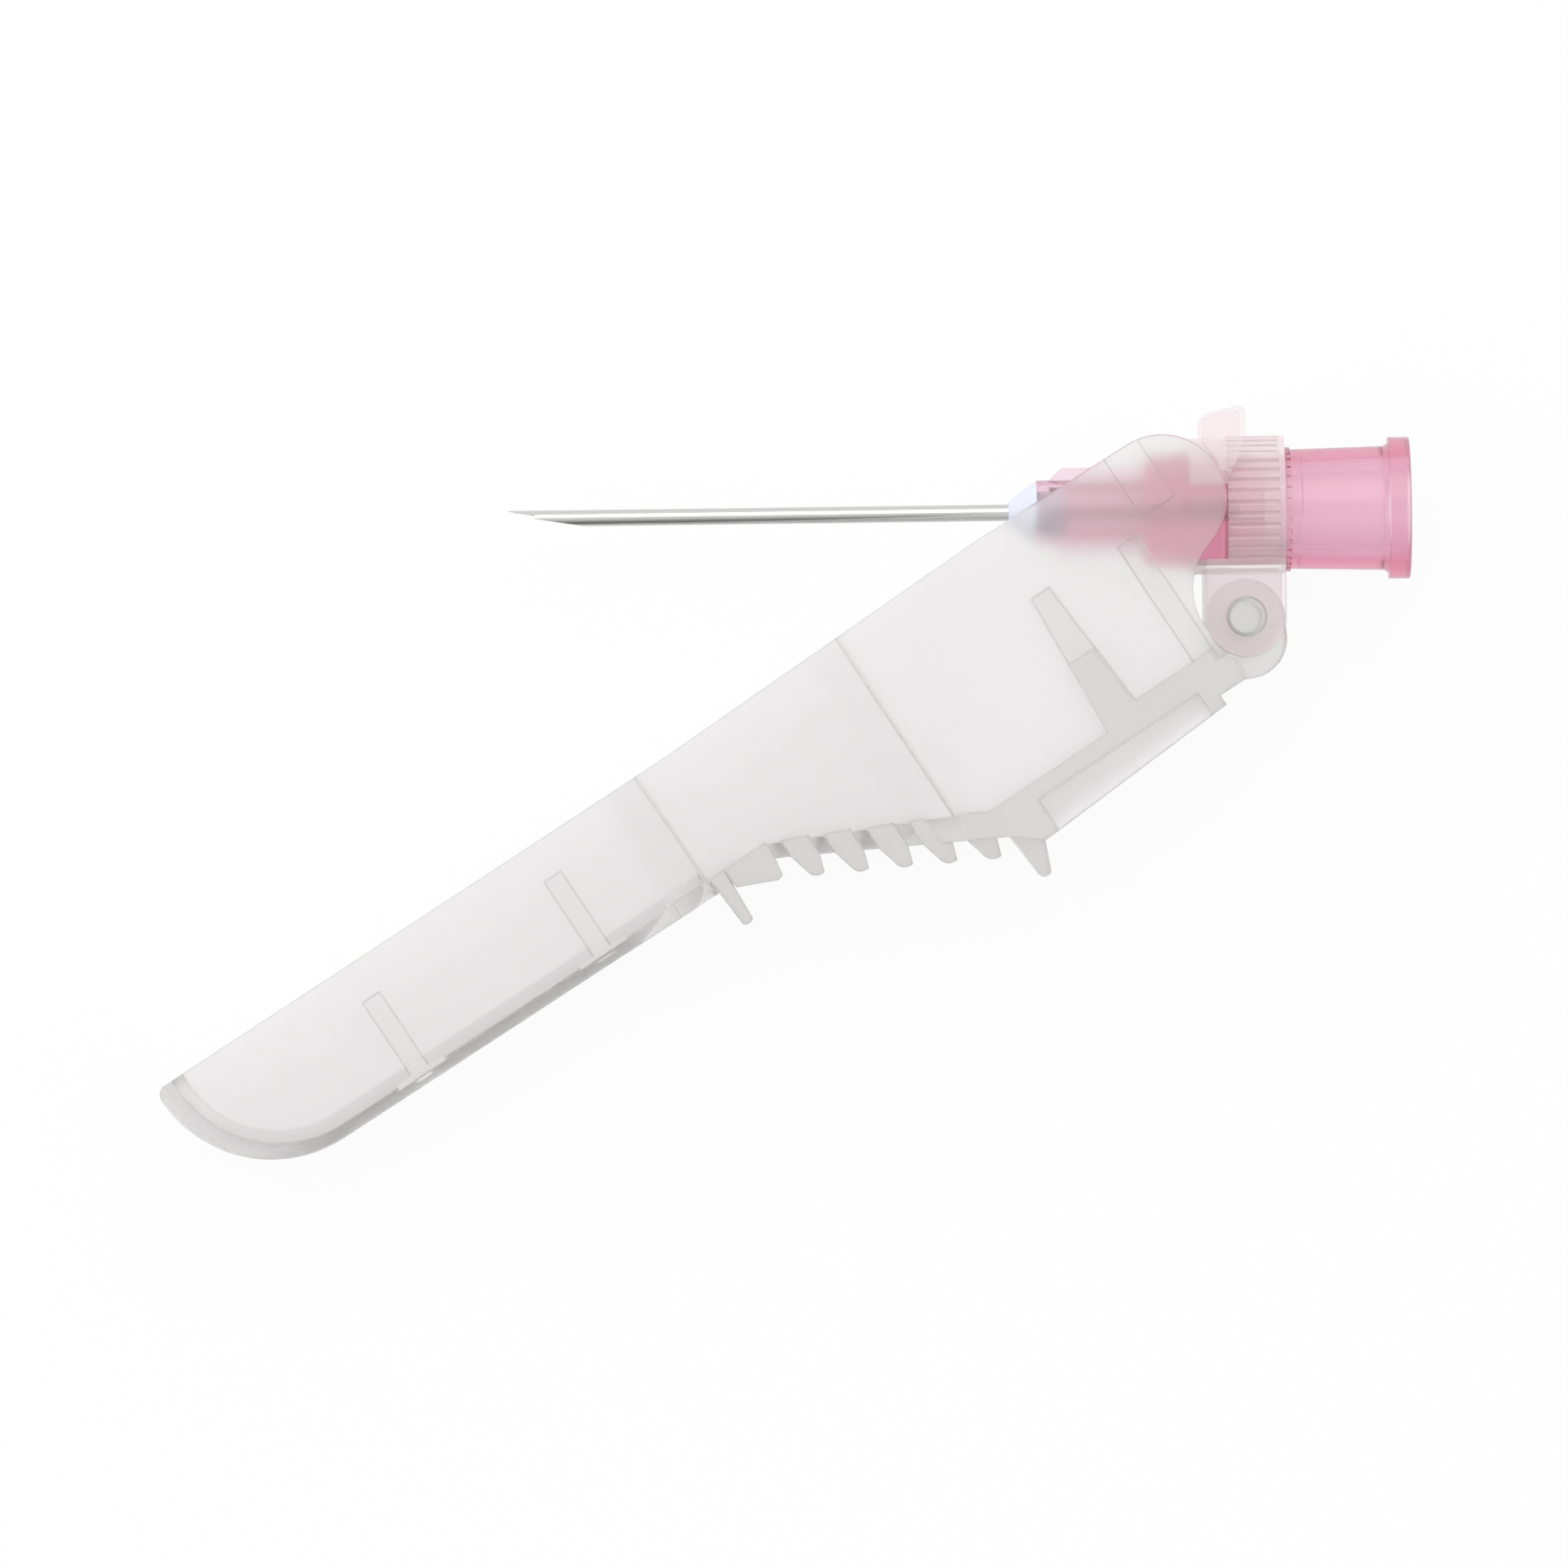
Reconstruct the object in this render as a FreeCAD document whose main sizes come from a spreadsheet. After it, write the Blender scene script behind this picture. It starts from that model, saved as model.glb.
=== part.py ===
import FreeCAD, Part
import Sketcher
import math
import os
from types import SimpleNamespace

# A hypodermic needle whose hinged sheath snaps over the tube after use. Millimetres and degrees.
# X runs along the needle and out of the socket's mouth, whose centre is the origin.
# The hinge lies on the -Y side, and its pin runs along Z.
# Distances called reach or end are measured from the mouth towards the point, along -X.
# The sheath is drawn closed, its own origin on the hinge pin, and its placement swings it open.

SIZE_ROWS = [
    ("mouth_radius", 2.15, "socket at its mouth"),
    ("socket_depth", 8.0, "tapered part of the socket"),
    ("socket_taper", 0.06, "loss of diameter for each millimetre of depth"),
    ("flange_length", 1.13, "lugs along the axis"),
    ("flange_radius", 3.88, "across the lugs, halved"),
    ("lug_ramp", 0.22, "how far a lug's front leans from one end to the other"),
    ("flange_blend", 0.28, "slope between flange and barrel"),
    ("barrel_rear_radius", 3.40, "hub beside the lugs"),
    ("barrel_front_radius", 3.27, "hub beside the collar"),
    ("spline_count", 32, "teeth round the hub beside the collar"),
    ("spline_length", 0.24, "teeth along the axis"),
    ("pad_length", 0.6, "raised pads beside the teeth"),
    ("pad_height", 0.12, "teeth and raised pads above the barrel"),
    ("pad_from", 32, "raised pads, turned from the top of the hub"),
    ("pad_to", 96, "far end of the raised pads"),
    ("collar_reach", 6.85, "mouth to the collar's near end"),
    ("collar_length", 5.25, "collar along the axis"),
    ("collar_play", 0.08, "end play of the collar on the hub"),
    ("seat_radius", 3.0, "hub where the collar turns"),
    ("seat_clearance", 0.05, "radial gap between hub and collar"),
    ("snap_height", 0.16, "shoulder that keeps the collar on"),
    ("shoulder_reach", 14.5, "mouth to the end of the thick part of the hub"),
    ("nose_radius", 1.74, "slim front of the hub"),
    ("fin_count", 4, "fins on the slim front"),
    ("fin_radius", 2.4, "tips of the fins"),
    ("fin_thickness", 0.8, "fins"),
    ("fin_reach", 19.7, "mouth to the end of the fins"),
    ("nose_lip", 0.7, "slim front beyond its fins"),
    ("well_radius", 1.15, "well for the adhesive in the front of the hub"),
    ("well_depth", 1.6, "well for the adhesive"),
    ("cone_length", 1.55, "white cone in front of the hub"),
    ("cone_tip_radius", 0.62, "cone where the tube leaves it"),
    ("bond_gap", 0.015, "gap filled by the bond"),
    ("tube_radius", 0.45, "steel tube outside"),
    ("tube_bore_radius", 0.30, "steel tube inside"),
    ("rear_taper", 0.01, "tube's rear end below its surface, where the bond grips it"),
    ("tube_reach", 49.46, "mouth to the point"),
    ("tube_grip", 1.3, "tube's rear end in front of the socket's floor"),
    ("bevel_angle", 9.3, "main grind of the point"),
    ("lancet_turn", 28.0, "side grinds turned round the tube"),
    ("lancet_length", 1.56, "side grinds along the tube"),
    ("valley_radius", 3.82, "collar between its grip ribs"),
    ("rib_radius", 4.05, "collar across its grip ribs and ears, halved"),
    ("rib_count", 40, "grip ribs round the collar"),
    ("rib_width", 0.34, "grip ribs at their tips"),
    ("rim_length", 0.34, "plain rim of the collar"),
    ("knurl_length", 3.15, "rim and ribs together"),
    ("front_radius", 3.93, "collar in front of its ribs"),
    ("side_opening_top", 1.35, "needle's axis up to the top of the openings in the collar's sides"),
    ("hinge_reach", 9.09, "mouth to the hinge pin"),
    ("hinge_drop", 5.91, "needle's axis to the hinge pin"),
    ("ear_radius", 2.18, "round end of the ears"),
    ("ear_gap", 2.3, "middle to the inside of an ear"),
    ("ear_top", 2.75, "needle's axis to the top of the ears"),
    ("relief_radius", 3.5, "collar's ring between the ears"),
    ("pin_radius", 1.06, "hinge pins"),
    ("pin_clearance", 0.05, "radial gap round the hinge pins"),
    ("pin_chamfer", 0.2, "chamfer on the hinge pins"),
    ("knuckle_play", 0.1, "side play of the knuckle between the ears"),
    ("knuckle_radius", 2.1, "knuckle round the pins"),
    ("wing_thickness", 0.8, "locking wings"),
    ("wing_front", 11.38, "mouth to the wings' far side"),
    ("wing_back", 9.05, "mouth to the wings' near side"),
    ("wing_top", 5.57, "needle's axis to the top of the wings"),
    ("wing_lean", 0.35, "fall of the wings' top towards the point"),
    ("wing_corner", 0.42, "corners of the wings"),
    ("wing_shoulder", 3.97, "needle's axis to where the wings' sides turn in"),
    ("wing_flank", 7.0, "radius of the wings' lower near side"),
    ("wing_foot", 10.2, "mouth to the wings' foot"),
    ("wing_low", 1.5, "needle's axis to the wings' foot"),
    ("wing_waist", 2.6, "needle's axis to the wings' lower far corner"),
    ("sheath_length", 64.03, "hinge pin to the sheath's tip"),
    ("open_edge_height", 11.43, "hinge pin to the sheath's open edge at its two ends"),
    ("edge_crest", 11.62, "hinge pin to the highest point of the open edge"),
    ("edge_crest_at", 10.0, "hinge pin to that point along the sheath"),
    ("edge_dip", 11.2, "hinge pin to the lowest point of the open edge"),
    ("edge_dip_at", 31.0, "hinge pin to that point along the sheath"),
    ("spine_height", 3.38, "hinge pin to the sheath's slim back at its near end"),
    ("spine_rise", 0.22, "slim back at its far end above its near end"),
    ("block_floor", 2.0, "hinge pin down to the back of the wide part"),
    ("tip_radius", 7.26, "round end of the sheath"),
    ("tip_corner", 0.5, "blunted corner between round end and open edge"),
    ("tip_bow", 0.9, "radius of that corner, too flat to run on into either"),
    ("corner_radius", 1.9, "long rounded edges of the back"),
    ("inner_corner", 0.6, "long bevelled edges inside the slim part"),
    ("sheath_wall", 0.85, "side walls of the sheath"),
    ("floor_wall", 0.9, "back wall of the sheath"),
    ("wide_half", 5.15, "middle to the outside of the wide part"),
    ("middle_half", 4.3, "middle to the outside beside the finger pad"),
    ("slim_half", 3.3, "middle to the outside of the slim part"),
    ("wide_end", 19.15, "hinge pin to the end of the wide part"),
    ("middle_start", 20.75, "hinge pin to the start of the middle part"),
    ("middle_end", 32.5, "hinge pin to the end of the middle part"),
    ("slim_start", 34.7, "hinge pin to the start of the slim part"),
    ("lobe_radius", 3.54, "round lobes beside the collar"),
    ("lobe_offset", 0.35, "hinge pin to the lobes' centre along the sheath"),
    ("hollow_offset", 1.45, "hinge pin back to the centre of the hollow beside the ears"),
    ("hollow_rise", 0.88, "hinge pin up to that centre"),
    ("hollow_foot", 0.5, "hinge pin up to the end of that hollow"),
    ("ear_clearance", 0.08, "gap between the ears' round ends and the sheath"),
    ("ear_hug", 1.6, "hinge pin down to where the sheath leaves the ears' round ends"),
    ("arm_start", 1.9, "hinge pin to the near end of the arm's underside"),
    ("pad_start", 17.4, "hinge pin to the near end of the finger pad"),
    ("pad_end", 28.7, "hinge pin to the far end of the finger pad"),
    ("pad_low", 2.83, "near end of the finger pad below the hinge pin"),
    ("pad_high", 3.27, "far end of the finger pad above the hinge pin"),
    ("tooth_count", 5, "ribs of the finger pad"),
    ("tooth_pitch", 2.13, "finger pad ribs"),
    ("tooth_first", 27.95, "hinge pin to the face of the farthest rib"),
    ("tooth_height", 1.3, "ribs below the pad"),
    ("tooth_land", 0.75, "tip of a rib"),
    ("tooth_bow", 0.7, "radius across that tip"),
    ("block_low", 4.07, "bottom of the block at its far end, below the hinge pin"),
    ("block_high", 3.37, "bottom of the block at its near end, below the hinge pin"),
    ("block_start", 3.6, "hinge pin to the near end of the block"),
    ("block_end", 15.9, "hinge pin to the far end of the block"),
    ("arm_low", 2.78, "underside of the hinge arm, below the hinge pin"),
    ("front_blade_low", 1.1, "tip of the far blade, above the hinge pin"),
    ("front_blade_end", 32.4, "hinge pin to the far face of the far blade"),
    ("blade_root", 1.05, "far blade at its root"),
    ("blade_tip", 0.6, "blades at their tips"),
    ("blade_bow", 0.4, "radius across those tips"),
    ("rear_blade_low", 5.75, "tip of the near blade, below the hinge pin"),
    ("prong_start", 8.1, "hinge pin to the cradle's prongs"),
    ("prong_end", 9.24, "hinge pin to the far side of the prongs"),
    ("prong_height", 7.3, "hinge pin to the top of the prongs"),
    ("prong_gap", 2.75, "middle to the inside of a prong"),
    ("cradle_height", 3.15, "hinge pin to the cradle's cross wall"),
    ("stop_start", 2.55, "hinge pin to the stop ribs"),
    ("stop_end", 3.8, "hinge pin to the far side of the stop ribs"),
    ("stop_height", 7.06, "hinge pin to the top of the stop ribs"),
    ("stop_gap", 3.65, "middle to the inside of a stop rib"),
    ("guide_width", 1.1, "guide ribs in the slim part"),
    ("guide_height", 9.2, "hinge pin to the top of the guide ribs"),
    ("guide_gap", 1.95, "middle to the inside of a guide rib"),
    ("near_guide", 38.85, "hinge pin to the near guide ribs"),
    ("far_guide", 50.75, "hinge pin to the far guide ribs"),
    ("window_half", 1.5, "slot in the back, halved"),
    ("window_margin", 0.15, "slot's ends inside the second shoulder"),
    ("floor_step", 0.65, "floor between stop ribs and cradle above the rest"),
    ("wedge_drop", 1.2, "wedge beside the far blade below the back"),
    ("heel_radius", 2.2, "round heel under the knuckle"),
    ("heel_reach", 1.5, "hinge pin back to the end of the heel"),
    ("heel_drop", 1.7, "hinge pin down to the end of the heel"),
    ("recess_depth", 0.3, "recesses that the locking wings snap into"),
    ("recess_end", 1.77, "hinge pin to the far side of those recesses"),
    ("recess_start", 0.35, "hinge pin back to their near side"),
    ("recess_low", 7.7, "hinge pin to their lower edge"),
    ("overlap", 0.1, "how far joined forms run into each other"),
    ("cut_margin", 1.0, "how far a cut runs past the surface that it opens"),
    ("open_angle", 32.92, "sheath swung open from over the needle"),
]


class Size:
    # A number together with its formula over the sheet's cells, so that a sketch can be bound to it.

    def __init__(self, value, formula):
        self.value = value
        self.formula = formula

    def __add__(self, other):
        other = as_size(other)
        return Size(self.value + other.value, f"({self.formula} + {other.formula})")

    def __sub__(self, other):
        other = as_size(other)
        return Size(self.value - other.value, f"({self.formula} - {other.formula})")

    def __mul__(self, other):
        other = as_size(other)
        return Size(self.value * other.value, f"({self.formula} * {other.formula})")

    def __truediv__(self, other):
        other = as_size(other)
        return Size(self.value / other.value, f"({self.formula} / {other.formula})")

    def __neg__(self):
        return Size(-self.value, f"(0 - {self.formula})")

    def __rmul__(self, other):
        return as_size(other) * self

    def __radd__(self, other):
        return as_size(other) + self

    def __rsub__(self, other):
        return as_size(other) - self


def as_size(number):
    return number if isinstance(number, Size) else Size(float(number), f"{float(number):.6f}")


def tangent(angle):
    return Size(math.tan(math.radians(angle.value)), f"tan({angle.formula})")


def cosine(angle):
    return Size(math.cos(math.radians(angle.value)), f"cos({angle.formula})")


def sine(angle):
    return Size(math.sin(math.radians(angle.value)), f"sin({angle.formula})")


def root(square):
    return Size(math.sqrt(square.value), f"sqrt({square.formula})")


doc = FreeCAD.newDocument("safety_needle")
sheet = doc.addObject("Spreadsheet::Sheet", "sizes")
for row, (name, number, meaning) in enumerate(SIZE_ROWS, start=1):
    sheet.set(f"A{row}", meaning)
    sheet.set(f"B{row}", str(number))
    sheet.setAlias(f"B{row}", name)
doc.recompute()
z = SimpleNamespace(**{name: Size(float(number), f"sizes.{name}") for name, number, meaning in SIZE_ROWS})


def origin_feature(body, role):
    return next(item for item in body.Origin.OriginFeatures if item.Role == role)


def new_body(name):
    body = doc.addObject("PartDesign::Body", name)
    body.Label = name
    return body


def arc_through(here, there, radius):
    # The shorter arc between two points; a positive radius turns left on the way, a negative one right.
    chord = there - here
    middle = (here + there) * 0.5
    rise = math.sqrt(max(radius * radius - chord.Length ** 2 / 4, 0))
    left = FreeCAD.Vector(-chord.y, chord.x, 0).normalize()
    centre = middle + left * math.copysign(rise, radius)
    first, last = (here, there) if radius > 0 else (there, here)
    start = math.atan2(first.y - centre.y, first.x - centre.x)
    stop = math.atan2(last.y - centre.y, last.x - centre.x)
    if stop < start:
        stop += 2 * math.pi
    circle = Part.Circle(centre, FreeCAD.Vector(0, 0, 1), abs(radius))
    return Part.ArcOfCircle(circle, start, stop)


def hold(sketch, kind, constraint, size):
    index = sketch.addConstraint(constraint)
    name = f"{kind}{index}"
    sketch.renameConstraint(index, name)
    sketch.setExpression(f"Constraints.{name}", size.formula)


def add_outline(sketch, corners):
    # Each corner is (x, y) for a straight edge to the next one, or (x, y, radius) for an arc to it.
    base = sketch.GeometryCount
    count = len(corners)
    corners = [tuple(as_size(number) for number in corner) for corner in corners]
    spots = [FreeCAD.Vector(corner[0].value, corner[1].value, 0) for corner in corners]
    starts = []
    ends = []
    for i, corner in enumerate(corners):
        here, there = spots[i], spots[(i + 1) % count]
        is_arc = len(corner) == 3
        turns_right = is_arc and corner[2].value < 0
        edge = arc_through(here, there, corner[2].value) if is_arc else Part.LineSegment(here, there)
        sketch.addGeometry(edge, False)
        starts.append(2 if turns_right else 1)
        ends.append(1 if turns_right else 2)
    for i, corner in enumerate(corners):
        following = (i + 1) % count
        sketch.addConstraint(
            Sketcher.Constraint("Coincident", base + i, ends[i], base + following, starts[following]))
        across = Sketcher.Constraint("DistanceX", -1, 1, base + i, starts[i], spots[i].x)
        upward = Sketcher.Constraint("DistanceY", -1, 1, base + i, starts[i], spots[i].y)
        hold(sketch, "across", across, corner[0])
        hold(sketch, "upward", upward, corner[1])
        if len(corner) == 3:
            radius = corner[2] if corner[2].value > 0 else -corner[2]
            hold(sketch, "radius", Sketcher.Constraint("Radius", base + i, radius.value), radius)


def add_circle(sketch, x, y, radius):
    x, y, radius = as_size(x), as_size(y), as_size(radius)
    index = sketch.GeometryCount
    centre = FreeCAD.Vector(x.value, y.value, 0)
    sketch.addGeometry(Part.Circle(centre, FreeCAD.Vector(0, 0, 1), radius.value), False)
    hold(sketch, "across", Sketcher.Constraint("DistanceX", -1, 1, index, 3, x.value), x)
    hold(sketch, "upward", Sketcher.Constraint("DistanceY", -1, 1, index, 3, y.value), y)
    hold(sketch, "radius", Sketcher.Constraint("Radius", index, radius.value), radius)


def new_sketch(body, name, plane, outlines, offset=None, turn=None):
    sketch = body.newObject("Sketcher::SketchObject", name)
    sketch.AttachmentSupport = [(origin_feature(body, plane), "")]
    sketch.MapMode = "FlatFace"
    if turn is not None:
        sketch.AttachmentOffset = FreeCAD.Placement(
            FreeCAD.Vector(0, 0, 0), FreeCAD.Rotation(FreeCAD.Vector(1, 0, 0), turn.value))
        sketch.setExpression("AttachmentOffset.Rotation.Angle", turn.formula)
    if offset is not None:
        sketch.setExpression("AttachmentOffset.Base.z", as_size(offset).formula)
    for outline in outlines:
        if outline[0] == "circle":
            add_circle(sketch, *outline[1:])
        else:
            add_outline(sketch, outline)
    return sketch


def swept(body, kind, name, sketch, length, both_ways=True, reverse=False):
    feature = body.newObject(f"PartDesign::{kind}", name)
    feature.Profile = sketch
    feature.Midplane = both_ways
    feature.Reversed = reverse
    feature.setExpression("Length", as_size(length).formula)
    return feature


def pad(body, name, sketch, length, both_ways=True, reverse=False):
    return swept(body, "Pad", name, sketch, length, both_ways, reverse)


def pocket(body, name, sketch, length, both_ways=True, reverse=False):
    return swept(body, "Pocket", name, sketch, length, both_ways, reverse)


def revolve(body, name, sketch):
    feature = body.newObject("PartDesign::Revolution", name)
    feature.Profile = sketch
    feature.ReferenceAxis = (origin_feature(body, "X_Axis"), [""])
    feature.Angle = 360
    return feature


def mirror(body, name, features, plane="XY_Plane"):
    feature = body.newObject("PartDesign::Mirrored", name)
    feature.Originals = features
    feature.MirrorPlane = (origin_feature(body, plane), [""])
    body.Tip = feature
    return feature


def around_axis(body, name, features, count):
    feature = body.newObject("PartDesign::PolarPattern", name)
    feature.Originals = features
    feature.Axis = (origin_feature(body, "X_Axis"), [""])
    feature.Angle = 360
    feature.setExpression("Occurrences", count.formula)
    body.Tip = feature
    return feature


def picked_edges(name, base, picks):
    # The edges of the base whose middle the function picks accepts.
    doc.recompute()
    names = []
    for number, edge in enumerate(base.Shape.Edges, start=1):
        if picks(edge.valueAt((edge.FirstParameter + edge.LastParameter) / 2)):
            names.append(f"Edge{number}")
    if not names:
        raise ValueError(f"{name} found no edge")
    return names


def fillet(body, name, base, radius, picks):
    names = picked_edges(name, base, picks)
    feature = body.newObject("PartDesign::Fillet", name)
    feature.Base = (base, names)
    feature.setExpression("Radius", as_size(radius).formula)
    return feature


def edge_break(body, name, base, size, picks):
    names = picked_edges(name, base, picks)
    feature = body.newObject("PartDesign::Chamfer", name)
    feature.Base = (base, names)
    feature.setExpression("Size", as_size(size).formula)
    return feature


def near(number, size, slack=0.002):
    return abs(number - as_size(size).value) < slack


# Values that several pieces share
collar_front = z.collar_reach + z.collar_length
bore_radius = z.seat_radius + z.seat_clearance
tube_hole = z.tube_radius + z.bond_gap
nose_reach = z.fin_reach + z.nose_lip
well_end = nose_reach - z.well_depth


# Hub: the pink moulding with the tapered socket for a syringe
def build_hub():
    body = new_body("hub")
    seat_start = z.collar_reach - z.collar_play
    seat_end = collar_front + z.collar_play
    snap_radius = z.seat_radius + z.snap_height
    socket_floor = z.mouth_radius - z.socket_depth * z.socket_taper / 2
    # Each lug is half a ring whose front leans along its helix
    inner = (z.mouth_radius + z.barrel_rear_radius) / 2
    half_ring = [
        (0, -z.flange_radius, z.flange_radius),
        (z.flange_radius, 0, z.flange_radius),
        (0, z.flange_radius),
        (0, inner, -inner),
        (inner, 0, -inner),
        (0, -inner),
    ]
    lug_sketch = new_sketch(body, "lug_outline", "YZ_Plane", [half_ring])
    lug_pad = pad(body, "lug", lug_sketch, z.flange_length, both_ways=False, reverse=True)
    lean = [
        (-(z.flange_length - z.lug_ramp), -z.flange_radius),
        (-z.flange_length, z.flange_radius),
        (-(z.flange_length + z.cut_margin), z.flange_radius),
        (-(z.flange_length + z.cut_margin), -z.flange_radius),
    ]
    lean_sketch = new_sketch(body, "lug_lean", "XZ_Plane", [lean], offset=-z.flange_radius)
    lug_cut = pocket(body, "lug_helix", lean_sketch, z.flange_radius, both_ways=False)
    around_axis(body, "lugs", [lug_pad, lug_cut], as_size(2))

    profile = [
        (0, z.mouth_radius),
        (0, z.flange_radius),
        (-(z.flange_length - z.lug_ramp), z.flange_radius),
        (-(z.flange_length - z.lug_ramp), z.barrel_rear_radius + z.flange_blend),
        (-(z.flange_length + z.flange_blend), z.barrel_rear_radius),
        (-seat_start, z.barrel_front_radius),
        (-seat_start, z.seat_radius),
        (-seat_end, z.seat_radius),
        (-seat_end, snap_radius),
        (-(seat_end + z.snap_height), snap_radius),
        (-z.shoulder_reach, z.seat_radius),
        (-z.shoulder_reach, z.nose_radius),
        (-nose_reach, z.nose_radius),
        (-nose_reach, z.well_radius),
        (-well_end, z.well_radius),
        (-well_end, tube_hole),
        (-z.socket_depth, tube_hole),
        (-z.socket_depth, socket_floor),
    ]
    revolve(body, "hub_turned", new_sketch(body, "hub_profile", "XY_Plane", [profile]))

    # Teeth and two raised pads beside the collar
    tooth_top = z.barrel_front_radius + z.pad_height
    tooth_half = tooth_top * 2 * math.pi / z.spline_count / 4
    tooth = [
        (z.barrel_front_radius - z.pad_height, -tooth_half),
        (tooth_top, -tooth_half * 0.7),
        (tooth_top, tooth_half * 0.7),
        (z.barrel_front_radius - z.pad_height, tooth_half),
    ]
    tooth_sketch = new_sketch(body, "spline_outline", "YZ_Plane", [tooth], offset=-seat_start)
    tooth_pad = pad(body, "spline", tooth_sketch, z.spline_length, both_ways=False)
    around_axis(body, "splines", [tooth_pad], z.spline_count)
    low = z.barrel_front_radius - z.pad_height
    raised = [
        (low * cosine(z.pad_from), low * sine(z.pad_from)),
        (tooth_top * cosine(z.pad_from), tooth_top * sine(z.pad_from), tooth_top),
        (tooth_top * cosine(z.pad_to), tooth_top * sine(z.pad_to)),
        (low * cosine(z.pad_to), low * sine(z.pad_to), -low),
    ]
    raised_start = seat_start - z.spline_length
    raised_sketch = new_sketch(body, "raised_outline", "YZ_Plane", [raised], offset=-raised_start)
    raised_pad = pad(body, "raised", raised_sketch, z.pad_length, both_ways=False)
    around_axis(body, "raised_pads", [raised_pad], as_size(2))

    # Fins along the slim front
    fin_root = (z.well_radius + z.nose_radius) / 2
    fin_slope = z.fin_radius - z.nose_radius
    fin = [
        (-(z.shoulder_reach - z.overlap), fin_root),
        (-(z.shoulder_reach - z.overlap), z.fin_radius),
        (-(z.fin_reach - fin_slope), z.fin_radius),
        (-z.fin_reach, z.nose_radius),
        (-z.fin_reach, fin_root),
    ]
    fin_pad = pad(body, "fin", new_sketch(body, "fin_outline", "XY_Plane", [fin]), z.fin_thickness)
    around_axis(body, "fins", [fin_pad], z.fin_count)
    return body


# Steel tube with a three-grind point, its longest side upwards
def build_cannula():
    body = new_body("cannula")
    rear = z.socket_depth + z.tube_grip
    exit_reach = nose_reach + z.cone_length
    wall = [
        (-rear, z.tube_bore_radius),
        (-rear, z.tube_radius - z.rear_taper),
        (-exit_reach, z.tube_radius),
        (-z.tube_reach, z.tube_radius),
        (-z.tube_reach, z.tube_bore_radius),
    ]
    revolve(body, "tube", new_sketch(body, "tube_wall", "XY_Plane", [wall]))
    kink = z.tube_reach - z.lancet_length
    heel = kink - z.tube_radius / tangent(z.bevel_angle)
    low = z.tube_radius * 3
    main_grind = [
        (-heel, -z.tube_radius),
        (-(kink + z.lancet_length), z.lancet_length * tangent(z.bevel_angle)),
        (-(z.tube_reach + z.tube_radius), z.lancet_length * tangent(z.bevel_angle)),
        (-(z.tube_reach + z.tube_radius), -low),
        (-heel, -low),
    ]
    grind_sketch = new_sketch(body, "bevel_outline", "XY_Plane", [main_grind])
    pocket(body, "bevel", grind_sketch, z.tube_radius * 4)
    for side, turn in (("left", z.lancet_turn), ("right", -z.lancet_turn)):
        point_height = z.tube_radius * cosine(z.lancet_turn)
        side_grind = [
            (-kink, 0),
            (-z.tube_reach, point_height),
            (-(z.tube_reach + z.tube_radius), point_height),
            (-(z.tube_reach + z.tube_radius), -low),
            (-kink, -low),
        ]
        side_sketch = new_sketch(body, f"{side}_lancet_outline", "XY_Plane", [side_grind], turn=turn)
        pocket(body, f"{side}_lancet", side_sketch, z.tube_radius * 4)
    return body


# White cone that bonds the tube into the hub
def build_nose_cone():
    body = new_body("nose_cone")
    plug = z.well_radius - z.bond_gap
    profile = [
        (-(well_end + z.bond_gap), tube_hole),
        (-(well_end + z.bond_gap), plug),
        (-nose_reach, plug),
        (-nose_reach, z.nose_radius),
        (-(nose_reach + z.cone_length), z.cone_tip_radius),
        (-(nose_reach + z.cone_length), tube_hole),
    ]
    revolve(body, "cone", new_sketch(body, "cone_profile", "XY_Plane", [profile]))
    return body


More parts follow.
